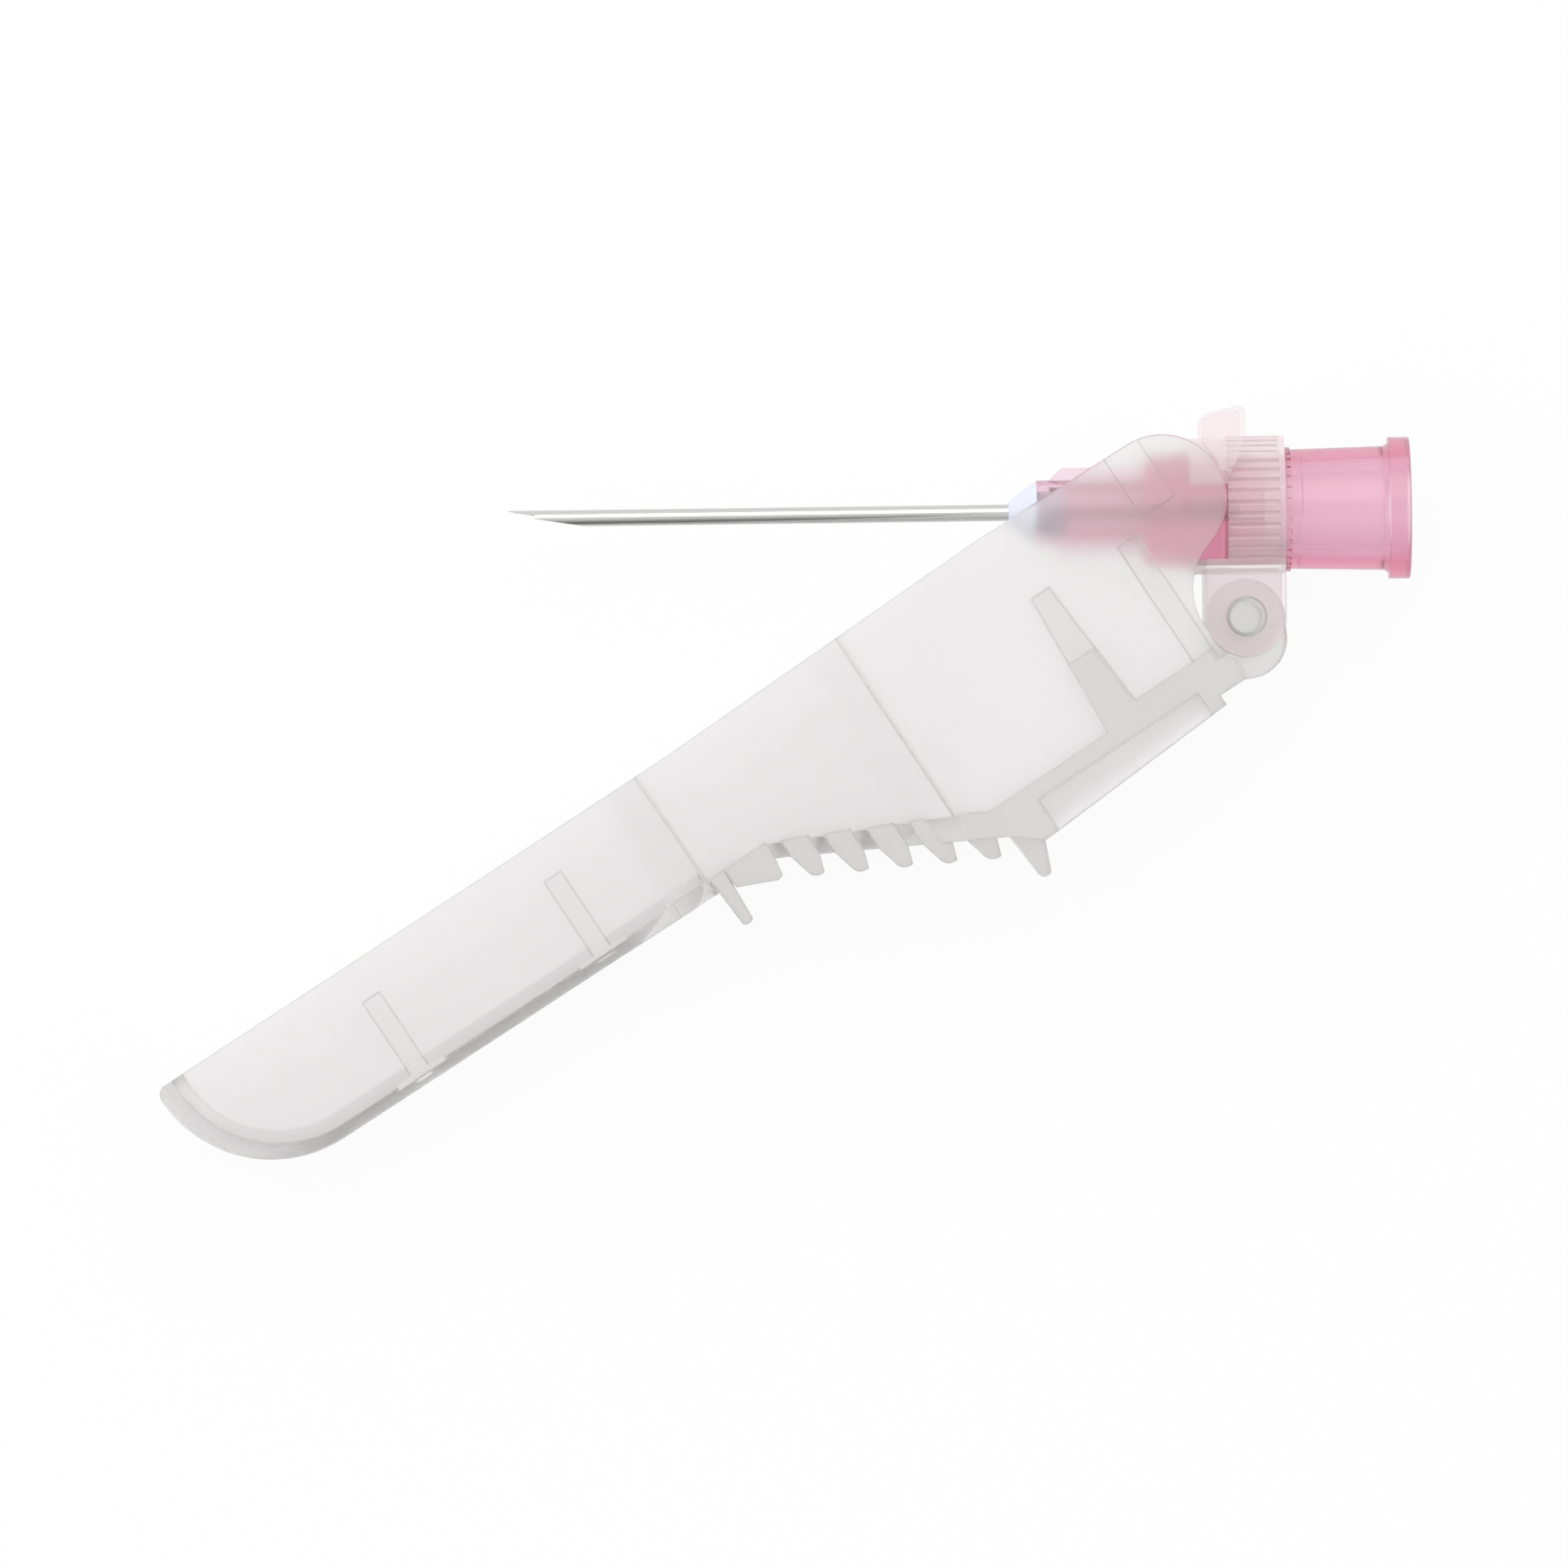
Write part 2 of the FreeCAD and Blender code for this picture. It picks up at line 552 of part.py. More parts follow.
# Collar: turns on the hub, carries the hinge ears and the two locking wings
def build_collar():
    body = new_body("collar")
    knurl_end = z.collar_reach + z.knurl_length
    rim_end = z.collar_reach + z.rim_length
    profile = [
        (-z.collar_reach, bore_radius),
        (-z.collar_reach, z.rib_radius),
        (-rim_end, z.rib_radius),
        (-rim_end, z.valley_radius),
        (-knurl_end, z.valley_radius),
        (-knurl_end, z.front_radius),
        (-collar_front, z.front_radius),
        (-collar_front, bore_radius),
    ]
    revolve(body, "ring", new_sketch(body, "ring_profile", "XY_Plane", [profile]))

    rib_root = z.rib_width * 0.75
    rib = [
        (z.valley_radius - z.overlap, -rib_root),
        (z.rib_radius, -z.rib_width / 2),
        (z.rib_radius, z.rib_width / 2),
        (z.valley_radius - z.overlap, rib_root),
    ]
    rib_sketch = new_sketch(body, "rib_outline", "YZ_Plane", [rib], offset=-(rim_end - z.overlap))
    rib_length = z.knurl_length - z.rim_length + z.overlap
    rib_pad = pad(body, "rib", rib_sketch, rib_length, both_ways=False, reverse=True)
    around_axis(body, "ribs", [rib_pad], z.rib_count)

    ear_left = z.hinge_reach + z.ear_radius
    ear_right = z.hinge_reach - z.ear_radius
    ear = [
        (-ear_left, -z.hinge_drop, z.ear_radius),
        (-z.hinge_reach, -(z.hinge_drop + z.ear_radius), z.ear_radius),
        (-ear_right, -z.hinge_drop),
        (-ear_right, -z.ear_top),
        (-ear_left, -z.ear_top),
    ]
    ear_sketch = new_sketch(body, "ear_outline", "XY_Plane", [ear], offset=z.ear_gap)
    ear_pad = pad(body, "ear", ear_sketch, z.rib_radius - z.ear_gap, both_ways=False)
    mirror(body, "ears", [ear_pad])

    wing_far_top = z.wing_top - z.wing_lean
    wing = [
        (-z.wing_front, z.wing_shoulder - z.wing_corner),
        (-z.wing_front, wing_far_top - z.wing_corner, -z.wing_corner),
        (-(z.wing_front - z.wing_corner), wing_far_top),
        (-(z.wing_back + z.wing_corner), z.wing_top, -z.wing_corner),
        (-z.wing_back, z.wing_top - z.wing_corner),
        (-z.wing_back, z.wing_shoulder, -z.wing_flank),
        (-z.wing_foot, z.wing_low),
        (-(z.wing_foot + z.wing_corner), z.wing_waist),
    ]
    wing_start = z.rib_radius - z.wing_thickness + z.overlap
    wing_sketch = new_sketch(body, "wing_outline", "XY_Plane", [wing], offset=wing_start)
    wing_pad = pad(body, "wing", wing_sketch, z.wing_thickness, both_ways=False)
    mirror(body, "wings", [wing_pad])

    ear_end = z.hinge_drop + z.ear_radius + z.cut_margin
    relief_sketch = new_sketch(body, "relief_outline", "YZ_Plane", [[
        (-z.relief_radius, -z.ear_gap),
        (-ear_end, -z.ear_gap),
        (-ear_end, z.ear_gap),
        (-z.relief_radius, z.ear_gap),
    ]])
    pocket(body, "relief", relief_sketch, collar_front + z.cut_margin, both_ways=False)

    # In front of the ribs the ring is open at both sides, between its arch and the ears
    side_sketch = new_sketch(body, "side_opening_outline", "XY_Plane", [[
        (-knurl_end, -z.ear_top),
        (-knurl_end, z.side_opening_top),
        (-(collar_front + z.cut_margin), z.side_opening_top),
        (-(collar_front + z.cut_margin), -z.ear_top),
    ]])
    pocket(body, "side_openings", side_sketch, z.rib_radius * 3)

    hole_sketch = new_sketch(body, "hinge_hole_outline", "XY_Plane", [
        ("circle", -z.hinge_reach, -z.hinge_drop, z.pin_radius + z.pin_clearance)])
    pocket(body, "hinge_holes", hole_sketch, (z.rib_radius + z.cut_margin) * 2)
    return body


# Sheath: one moulding with its hinge pins, finger pad, cradle and guide ribs
def build_sheath():
    body = new_body("sheath")
    top = z.open_edge_height

    # Side view, from the lobe along the open edge, round the tip and back along the spine
    lobe_low = -z.lobe_offset
    lobe_height = top - z.lobe_radius
    over = z.hollow_offset + z.lobe_offset
    rise = lobe_height - z.hollow_rise
    apart = root(over * over + rise * rise)
    hollow_radius = apart - z.lobe_radius
    meet_x = lobe_low + over * z.lobe_radius / apart
    meet_y = lobe_height - rise * z.lobe_radius / apart
    hug_radius = z.ear_radius + z.ear_clearance
    hug_start = -root(hug_radius * hug_radius - z.ear_hug * z.ear_hug)
    hug_end = -root(hug_radius * hug_radius - z.hollow_foot * z.hollow_foot)
    tip_top = top - z.tip_corner
    spine_end = z.spine_height + z.spine_rise
    outline = [
        (lobe_low, top),
        (-z.edge_crest_at, z.edge_crest),
        (-z.edge_dip_at, z.edge_dip),
        (-(z.sheath_length - z.tip_corner), top, z.tip_bow),
        (-z.sheath_length, tip_top, z.tip_radius),
        (-(z.sheath_length - z.tip_radius), spine_end),
        (-z.middle_end, z.spine_height),
        (-z.pad_end, z.pad_high),
        (-z.pad_start, -z.pad_low),
        (-z.block_end, -z.block_low),
        (-z.block_start, -z.block_high),
        (-z.block_start, -z.arm_low),
        (-z.arm_start, -z.arm_low),
        (hug_start, -z.ear_hug, -hug_radius),
        (hug_end, z.hollow_foot, -hollow_radius),
        (meet_x, meet_y, z.lobe_radius),
        (lobe_low + z.lobe_radius, lobe_height, z.lobe_radius),
    ]
    side_sketch = new_sketch(body, "side_outline", "XY_Plane", [outline])
    pad(body, "block", side_sketch, z.wide_half * 2)

    # Seen from above the sheath steps in twice
    def plan_cut(side):
        return [
            (-z.wide_end, side * z.wide_half),
            (-z.middle_start, side * z.middle_half),
            (-z.middle_end, side * z.middle_half),
            (-z.slim_start, side * z.slim_half),
            (-(z.sheath_length + z.cut_margin), side * z.slim_half),
            (-(z.sheath_length + z.cut_margin), side * (z.wide_half + z.cut_margin)),
            (-z.wide_end, side * (z.wide_half + z.cut_margin)),
        ]
    plan_sketch = new_sketch(body, "plan_offcuts", "XZ_Plane", [plan_cut(1), plan_cut(-1)])
    narrowed = pocket(body, "narrowing", plan_sketch, z.sheath_length)

    def on_back(middle):
        slim = near(abs(middle.z), z.slim_half) and middle.x < -z.slim_start.value
        along_pad = -z.middle_end.value < middle.x < -z.middle_start.value
        broad = near(abs(middle.z), z.middle_half) and along_pad
        return (slim or broad) and middle.y < z.spine_height.value + z.tip_radius.value / 2
    rounded = fillet(body, "back_rounding", narrowed, z.corner_radius, on_back)

    # Finger pad: ribs with upright faces, a wedge at the far blade, and a blade at each end
    slope = (z.pad_high + z.pad_low) / (z.pad_end - z.pad_start)
    root_depth = z.floor_wall / 2

    def pad_line(reach):
        return z.pad_high - (z.pad_end - reach) * slope
    lean = z.tooth_height / 4
    ribs = []
    for i in range(int(z.tooth_count.value)):
        face = z.tooth_first - z.tooth_pitch * i
        root_end = face - lean * 2 - z.tooth_land
        ribs.append([
            (-face, pad_line(face) + z.corner_radius),
            (-face, pad_line(face)),
            (-(face - lean), pad_line(face) - z.tooth_height, z.tooth_bow),
            (-(face - lean - z.tooth_land), pad_line(face - z.tooth_land) - z.tooth_height),
            (-root_end, pad_line(root_end)),
            (-root_end, pad_line(root_end) + z.corner_radius),
        ])
    blade_root_start = z.front_blade_end - z.blade_root
    wedge = [
        (-blade_root_start, z.spine_height + z.corner_radius),
        (-blade_root_start, z.spine_height - z.wedge_drop * 0.2),
        (-(z.pad_end + z.wedge_drop * 0.4), z.spine_height - z.wedge_drop),
        (-(z.pad_end + z.wedge_drop * 0.15), z.spine_height - z.wedge_drop * 0.9),
        (-z.pad_end, z.pad_high),
        (-z.pad_end, z.spine_height + z.corner_radius),
    ]
    far_blade = [
        (-z.front_blade_end, z.spine_height + z.corner_radius),
        (-(z.front_blade_end - z.blade_tip * 0.4), z.front_blade_low + z.blade_bow / 2, z.blade_bow),
        (-(z.front_blade_end - z.blade_tip * 1.4), z.front_blade_low + z.blade_bow / 4),
        (-blade_root_start, z.spine_height + z.corner_radius),
    ]
    near_blade = [
        (-z.pad_start, -z.pad_low + root_depth),
        (-(z.pad_start - z.blade_tip * 0.4), -(z.rear_blade_low - z.blade_bow / 2), z.blade_bow),
        (-(z.pad_start - z.blade_tip * 1.4), -(z.rear_blade_low - z.blade_bow / 4)),
        (-z.block_end, -z.block_low),
        (-z.block_end, -z.block_low + root_depth * 2),
    ]
    for name, outline in (("wedge", wedge), ("far_blade", far_blade), ("near_blade", near_blade)):
        pad(body, name, new_sketch(body, f"{name}_outline", "XY_Plane", [outline]), z.middle_half * 2)
    pad(body, "finger_ribs", new_sketch(body, "finger_ribs_outline", "XY_Plane", ribs), z.middle_half * 2)

    # The channel, open towards the needle, in three widths
    def channel(name, corners, half):
        sketch = new_sketch(body, f"{name}_outline", "XY_Plane", [corners])
        return pocket(body, name, sketch, half * 2)
    above = top + z.cut_margin
    slim_floor = z.spine_height + z.floor_wall
    inside_tip = z.sheath_length - z.floor_wall * 1.4
    slim_inside = z.slim_half - z.sheath_wall
    slim_channel = channel("slim_channel", [
        (-(z.middle_end - z.cut_margin), above),
        (-inside_tip, above),
        (-inside_tip, tip_top, z.tip_radius - z.floor_wall),
        (-(z.sheath_length - z.tip_radius), slim_floor + z.spine_rise),
        (-z.middle_end, slim_floor),
        (-(z.middle_end - z.cut_margin), slim_floor),
    ], slim_inside)

    def on_slim_floor(middle):
        beside = near(abs(middle.z), slim_inside) and middle.x < -z.slim_start.value
        return beside and middle.y < slim_floor.value + z.tip_radius.value / 2
    edge_break(body, "floor_bevel", slim_channel, z.inner_corner, on_slim_floor)
    wide_floor = z.floor_wall - z.block_floor
    middle_floor_start = wide_floor + (z.middle_start - z.wide_end) * slope
    channel("middle_channel", [
        (-(z.wide_end - z.cut_margin), above),
        (-z.middle_end, above),
        (-z.middle_end, slim_floor),
        (-z.pad_end, slim_floor),
        (-z.wide_end, middle_floor_start),
        (-(z.wide_end - z.cut_margin), middle_floor_start),
    ], z.middle_half - z.sheath_wall)
    floor_run = (middle_floor_start - wide_floor) / slope
    channel("wide_channel", [
        (z.lobe_radius + z.cut_margin, above),
        (-z.wide_end, above),
        (-z.wide_end, middle_floor_start),
        (-(z.wide_end - floor_run), wide_floor),
        (z.lobe_radius + z.cut_margin, wide_floor),
    ], z.wide_half - z.sheath_wall)

    # Hollow under the wide part, open below, with one web along its middle
    recess_sketch = new_sketch(body, "block_hollow_outline", "XY_Plane", [[
        (-(z.block_start + z.floor_wall), -z.block_floor),
        (-(z.block_end - z.floor_wall), -z.block_floor),
        (-(z.block_end - z.floor_wall), -(z.block_low + z.cut_margin)),
        (-(z.block_start + z.floor_wall), -(z.block_low + z.cut_margin)),
    ]])
    pocket(body, "block_hollow", recess_sketch, (z.wide_half - z.sheath_wall) * 2)
    web_sketch = new_sketch(body, "web_outline", "XY_Plane", [[
        (-z.block_start, -(z.block_floor - z.floor_wall / 2)),
        (-z.block_end, -(z.block_floor - z.floor_wall / 2)),
        (-z.block_end, -(z.block_low - z.floor_wall / 2)),
        (-z.block_start, -(z.block_high - z.floor_wall / 2)),
    ]])
    pad(body, "web", web_sketch, z.floor_wall)

    # Inside the channel: cradle for the hub's slim front, stop ribs, raised floor and guide ribs
    wide_inside = z.wide_half - z.sheath_wall

    def cross_wall(name, corners, half):
        sketch = new_sketch(body, f"{name}_outline", "XY_Plane", [corners])
        return pad(body, name, sketch, (half + root_depth / 2) * 2)

    def opening_between(name, corners, gap):
        sketch = new_sketch(body, f"{name}_outline", "XY_Plane", [corners])
        return pocket(body, name, sketch, gap * 2)
    flare = z.prong_end - z.prong_start
    floor_root = wide_floor - root_depth
    cross_wall("cradle", [
        (-z.prong_start, z.prong_height),
        (-z.prong_end, z.prong_height),
        (-(z.prong_end + flare / 2), floor_root),
        (-(z.prong_start - flare / 2), floor_root),
    ], wide_inside)
    opening_between("cradle_gap", [
        (-(z.prong_start - flare), z.prong_height + z.cut_margin),
        (-(z.prong_end + flare), z.prong_height + z.cut_margin),
        (-(z.prong_end + flare), z.cradle_height),
        (-(z.prong_start - flare), z.cradle_height),
    ], z.prong_gap)
    cross_wall("stops", [
        (-z.stop_start, z.stop_height),
        (-z.stop_end, z.stop_height),
        (-z.stop_end, floor_root),
        (-z.stop_start, floor_root),
    ], wide_inside)
    raised_floor = wide_floor + z.floor_step
    opening_between("stops_gap", [
        (-(z.stop_start - z.cut_margin), z.stop_height + z.cut_margin),
        (-(z.stop_end + z.cut_margin), z.stop_height + z.cut_margin),
        (-(z.stop_end + z.cut_margin), raised_floor),
        (-(z.stop_start - z.cut_margin), raised_floor),
    ], z.stop_gap)
    cross_wall("raised_floor", [
        (-z.stop_start, raised_floor),
        (-z.prong_start, raised_floor),
        (-z.prong_start, floor_root),
        (-z.stop_start, floor_root),
    ], wide_inside)
    for name, start in (("near_guide", z.near_guide), ("far_guide", z.far_guide)):
        guide_end = start + z.guide_width
        cross_wall(f"{name}_ribs", [
            (-start, z.guide_height),
            (-guide_end, z.guide_height),
            (-guide_end, slim_floor - root_depth),
            (-start, slim_floor - root_depth),
        ], slim_inside)
        opening_between(f"{name}_gap", [
            (-(start - z.cut_margin), z.guide_height + z.cut_margin),
            (-(guide_end + z.cut_margin), z.guide_height + z.cut_margin),
            (-(guide_end + z.cut_margin), slim_floor),
            (-(start - z.cut_margin), slim_floor),
        ], z.guide_gap)
    opening_between("window", [
        (-(z.slim_start - z.window_margin), z.spine_height - z.cut_margin),
        (-(z.slim_start - z.window_margin), slim_floor + z.cut_margin),
        (-(z.middle_end + z.window_margin), slim_floor + z.cut_margin),
        (-(z.middle_end + z.window_margin), z.spine_height - z.cut_margin),
    ], z.window_half)
    opening_between("wing_recesses", [
        (-z.recess_end, z.recess_low),
        (z.recess_start, z.recess_low),
        (z.recess_start, above),
        (-z.recess_end, above),
    ], wide_inside + z.recess_depth)

    # Knuckle between the ears, on an arm from the block's floor
    arm_root = z.block_start + z.floor_wall + z.overlap
    knuckle = [
        (0, z.knuckle_radius, z.knuckle_radius),
        (-z.knuckle_radius, 0),
        (-arm_root, wide_floor),
        (-arm_root, -z.arm_low),
        (-z.arm_start, -z.arm_low, z.heel_radius),
        (z.heel_reach, -z.heel_drop, z.knuckle_radius * 1.15),
        (z.knuckle_radius, 0, z.knuckle_radius),
    ]
    knuckle_half = z.ear_gap - z.knuckle_play
    pad(body, "knuckle", new_sketch(body, "knuckle_outline", "XY_Plane", [knuckle]), knuckle_half * 2)
    pin_sketch = new_sketch(body, "pin_outline", "XY_Plane", [("circle", 0, 0, z.pin_radius)],
                            offset=knuckle_half - root_depth)
    pin = pad(body, "pin", pin_sketch, z.rib_radius - knuckle_half + root_depth, both_ways=False)
    pins = mirror(body, "pins", [pin])

    def at_pin_ends(middle):
        on_pin = math.hypot(middle.x, middle.y) < z.pin_radius.value + z.pin_clearance.value
        return on_pin and near(abs(middle.z), z.rib_radius)
    edge_break(body, "pin_ends", pins, z.pin_chamfer, at_pin_ends)
    return body


BUILDERS = [build_hub, build_cannula, build_nose_cone, build_collar, build_sheath]
bodies = [build() for build in BUILDERS]
doc.recompute()

# The sheath hangs on its pin, swung open from over the needle
sheath = bodies[-1]
sheath.setExpression("Placement.Base.x", (-z.hinge_reach).formula)
sheath.setExpression("Placement.Base.y", (-z.hinge_drop).formula)
sheath.setExpression("Placement.Rotation.Angle", z.open_angle.formula)
doc.recompute()

for item in doc.Objects:
    if "Invalid" in item.State or "Error" in item.State:
        raise RuntimeError(f"{item.Name} failed: {item.State}")
for body in bodies:
    if body.Shape.isNull() or not body.Shape.isValid():
        raise RuntimeError(f"{body.Label} has no valid shape")

os.makedirs("parts", exist_ok=True)
for body in bodies:
    body.Shape.exportStep(f"parts/{body.Label}.step")
    box = body.Shape.BoundBox
    reach = f"X {box.XMin:.2f} {box.XMax:.2f} Y {box.YMin:.2f} {box.YMax:.2f} Z {box.ZMin:.2f} {box.ZMax:.2f}"
    print(f"{body.Label}: {len(body.Shape.Solids)} solid, {body.Shape.Volume:.2f} mm3, {reach}")
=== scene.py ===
import bpy
import math
import numpy as np
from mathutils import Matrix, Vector


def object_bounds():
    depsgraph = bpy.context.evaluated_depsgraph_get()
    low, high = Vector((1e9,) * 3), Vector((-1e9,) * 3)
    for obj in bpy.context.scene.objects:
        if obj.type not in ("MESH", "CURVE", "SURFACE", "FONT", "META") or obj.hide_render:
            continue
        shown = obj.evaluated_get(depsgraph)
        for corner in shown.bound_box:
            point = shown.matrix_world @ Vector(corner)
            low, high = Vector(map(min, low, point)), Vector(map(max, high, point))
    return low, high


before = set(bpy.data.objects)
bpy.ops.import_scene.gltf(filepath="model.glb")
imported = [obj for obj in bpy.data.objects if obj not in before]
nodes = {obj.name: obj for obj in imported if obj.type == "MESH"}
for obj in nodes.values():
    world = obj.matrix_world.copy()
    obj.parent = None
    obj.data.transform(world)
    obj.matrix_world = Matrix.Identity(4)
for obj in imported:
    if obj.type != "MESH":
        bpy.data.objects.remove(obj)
cadBox = [list(corner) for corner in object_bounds()]
print("frame loaded:", ", ".join(sorted(nodes)))

mm = 0.001


def linear(hexColour):
    # sRGB hex to the linear colour that a socket takes
    parts = [int(hexColour[i:i + 2], 16) / 255 for i in (1, 3, 5)]
    return tuple(p / 12.92 if p <= 0.04045 else ((p + 0.055) / 1.055) ** 2.4 for p in parts) + (1.0,)


def addNode(tree, kind, settings=None, links=None):
    # settings: attribute or input name to value; links: input name or number to an output socket
    node = tree.nodes.new(kind)
    for name, value in (settings or {}).items():
        if isinstance(name, int) or name in node.inputs:
            node.inputs[name].default_value = value
        else:
            setattr(node, name, value)
    for name, socket in (links or {}).items():
        tree.links.new(socket, node.inputs[name])
    return node


def newMaterial(name):
    material = bpy.data.materials.new(name)
    material.use_nodes = True
    tree = material.node_tree
    tree.nodes.clear()
    place = addNode(tree, "ShaderNodeTexCoord").outputs["Object"]
    output = addNode(tree, "ShaderNodeOutputMaterial")
    return material, tree, place, output


# Pink hub: injection moulded polypropylene, glossy and see-through, so that it is deepest in colour
# where the light crosses the most plastic
hubLook = {
    "pink": "#FDF8FA",
    "depth": (36.0, 228.0, 148.0),  # light lost for each metre of plastic: red, green, blue
    "clearness": 0.9,  # share of the light that passes the skin instead of scattering in it
    "roughness": 0.16,
    "index": 1.35,  # soft edges, as with the sheath
    "edge": 0.08 * mm,  # radius on moulded edges, as the light sees it
    "ripple": 0.9 * mm,  # sink marks of the moulding
    "rippleHeight": 0.004 * mm,
}
# Collar: the same plastic without dye, thin and milky, so that the hub shows through
# and rims and ribs look whiter
collarLook = {
    "tint": "#F7E9ED",
    "milk": (0.26, 0.72),  # cover of one skin seen squarely and seen edge on
    "milkBlend": 0.4,
    "roughness": 0.28,
    "index": 1.49,
    "edge": 0.07 * mm,
    "ripple": 0.7 * mm,
    "rippleHeight": 0.004 * mm,
}
# Sheath: polypropylene, polished outside so that the ribs behind the wall show with crisp edges, and frosted
# inside, from a spark-eroded core, so that the hub behind it is only a soft pink patch
sheathLook = {
    "tint": "#FDFCFC",
    "depth": (37.0, 39.0, 39.5),
    "clearness": 0.88,
    "outside": 0.22,  # roughness of the outer skin
    "inside": 0.45,  # and of the frosted one
    "index": 1.38,  # under the 1.49 of solid polypropylene, because frost softens refraction at edges
    "edge": 0.15 * mm,
    "grain": 0.25 * mm,  # spark erosion is finer than this, which is drawn as coarse as it needs to show
    "grainHeight": 0.002 * mm,
}
# Cone: cured adhesive, satin, white with a cool cast
coneLook = {
    "white": "#DCE0EC",
    "roughness": 0.4,
    "index": 1.5,
    "edge": 0.06 * mm,
    "grain": 0.2 * mm,
    "grainHeight": 0.004 * mm,
}
# Drawn stainless steel: mirror-like across, with long draw lines along the tube
tubeLook = {
    "steel": "#C9CAC8",
    "ground": "#D6D7D5",
    "roughness": (0.15, 0.3),  # in and between the lines
    "drawLines": 0.05 * mm,
    "drawStretch": 40,  # length of a draw line over its width
    "grindLines": 0.06 * mm,
    "grindStretch": 20,
    "lineHeight": 0.002 * mm,
    "lineStrength": 0.5,
    "bevelStart": -45.2 * mm,  # beyond this the tube is ground to its point
    "bondEnd": -20.4 * mm,  # behind this the adhesive in the hub coats the steel; its pale pink is partly painted light, lifting steel that lies in shade in the hub
    "bond": "#F3E4E9",
}


def absorption(tree, look):
    # One density with a colour that leaves each channel its own loss
    density = max(look["depth"]) * 1.1
    left = tuple(1 - loss / density for loss in look["depth"])
    return addNode(tree, "ShaderNodeVolumeAbsorption", {"Color": left + (1.0,), "Density": density})


def roundedEdges(tree, radius, bumpHeight, height):
    # Moulded edges are never sharp: the normal turns round them, then takes the surface's own grain
    soft = addNode(tree, "ShaderNodeBevel", {"samples": 4, "Radius": radius})
    bump = addNode(tree, "ShaderNodeBump", {"Strength": 1.0, "Distance": bumpHeight},
                   {"Height": height, "Normal": soft.outputs["Normal"]})
    return bump.outputs["Normal"]


def hubMaterial(look):
    material, tree, place, output = newMaterial("moulded pink polypropylene")
    waves = addNode(tree, "ShaderNodeTexNoise", {"Scale": 1 / look["ripple"], "Detail": 2.0}, {"Vector": place})
    shader = addNode(tree, "ShaderNodeBsdfPrincipled", {
        "Base Color": linear(look["pink"]), "Roughness": look["roughness"], "IOR": look["index"],
        "Transmission Weight": look["clearness"],
    }, {"Normal": roundedEdges(tree, look["edge"], look["rippleHeight"], waves.outputs["Fac"])})
    tree.links.new(shader.outputs["BSDF"], output.inputs["Surface"])
    tree.links.new(absorption(tree, look).outputs["Volume"], output.inputs["Volume"])
    return material


def collarMaterial(look):
    material, tree, place, output = newMaterial("moulded clear polypropylene")
    waves = addNode(tree, "ShaderNodeTexNoise", {"Scale": 1 / look["ripple"], "Detail": 2.0}, {"Vector": place})
    edgeOn = addNode(tree, "ShaderNodeLayerWeight", {"Blend": look["milkBlend"]})
    cover = addNode(tree, "ShaderNodeMapRange", {"To Min": look["milk"][0], "To Max": look["milk"][1]},
                    {"Value": edgeOn.outputs["Facing"]})
    shader = addNode(tree, "ShaderNodeBsdfPrincipled", {
        "Base Color": linear(look["tint"]), "Roughness": look["roughness"], "IOR": look["index"],
    }, {"Alpha": cover.outputs["Result"],
        "Normal": roundedEdges(tree, look["edge"], look["rippleHeight"], waves.outputs["Fac"])})
    tree.links.new(shader.outputs["BSDF"], output.inputs["Surface"])
    return material


def sheathMaterial(look):
    material, tree, place, output = newMaterial("frosted polypropylene")
    within = addNode(tree, "ShaderNodeAttribute", {"attribute_name": "inside"})
    frost = addNode(tree, "ShaderNodeMapRange", {"To Min": look["outside"], "To Max": look["inside"]},
                    {"Value": within.outputs["Fac"]})
    grain = addNode(tree, "ShaderNodeTexNoise", {"Scale": 1 / look["grain"], "Detail": 3.0}, {"Vector": place})
    shader = addNode(tree, "ShaderNodeBsdfPrincipled", {
        "Base Color": linear(look["tint"]), "IOR": look["index"], "Transmission Weight": look["clearness"],
    }, {
        "Roughness": frost.outputs["Result"],
        "Normal": roundedEdges(tree, look["edge"], look["grainHeight"], grain.outputs["Fac"])})
    tree.links.new(shader.outputs["BSDF"], output.inputs["Surface"])
    tree.links.new(absorption(tree, look).outputs["Volume"], output.inputs["Volume"])
    return material


def coneMaterial(look):
    material, tree, place, output = newMaterial("white adhesive cone")
    grain = addNode(tree, "ShaderNodeTexNoise", {"Scale": 1 / look["grain"], "Detail": 3.0}, {"Vector": place})
    shader = addNode(tree, "ShaderNodeBsdfPrincipled", {
        "Base Color": linear(look["white"]), "Roughness": look["roughness"], "IOR": look["index"],
    }, {"Normal": roundedEdges(tree, look["edge"], look["grainHeight"], grain.outputs["Fac"])})
    tree.links.new(shader.outputs["BSDF"], output.inputs["Surface"])
    return material


